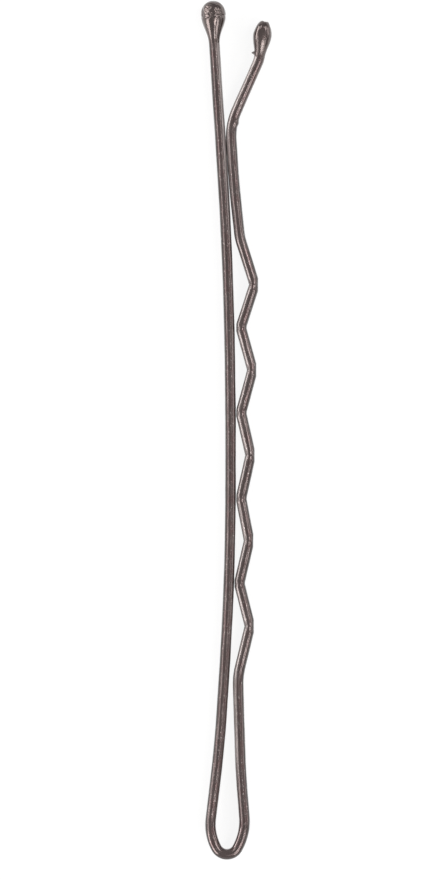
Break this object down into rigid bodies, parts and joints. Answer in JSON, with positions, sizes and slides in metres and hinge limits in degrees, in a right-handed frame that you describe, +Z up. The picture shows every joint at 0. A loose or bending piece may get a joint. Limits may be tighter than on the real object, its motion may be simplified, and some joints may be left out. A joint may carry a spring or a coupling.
{
  "type": "bobby pin",
  "caption": "Flat-wire spring hair grip with one bowed leg, one crimped leg with a kicked-out end, an open eye at the bend, and a resin drop on each wire end.",
  "frame": {"origin": "middle of the grip's underside as it lies on its side: the centre of the bounding box in X and Y, at the height of the surface that it lies on", "axes": "+Y along the grip from the bend to the tips, +X from the straight leg towards the crimped leg, +Z up, along the width of the flat wire"},
  "size_m": [0.0042, 0.0508, 0.0017],
  "materials": {
    "lacquered_wire": "dark brown metallic lacquer on spring steel, semi-gloss with a fine grain",
    "resin_tip": "glossy dark brown dipped resin"
  },
  "bodies": {
    "straight_side": {"straight_leg": "lacquered_wire", "straight_side_of_bend": "lacquered_wire", "straight_leg_tip": "resin_tip"},
    "crimped_side": {"crimped_side_of_bend": "lacquered_wire", "crimped_leg": "lacquered_wire", "crimped_leg_tip": "resin_tip"}
  },
  "joints": [
    {"name": "leg_spread", "type": "hinge", "parent": "straight_side", "child": "crimped_side", "pos_m": [-0.00056, -0.0254, 0.00087], "axis": [0, 0, -1], "range_deg": [0, 10], "stiffness_Nm_per_rad": 0.12, "springref_deg": -2.86}
  ]
}
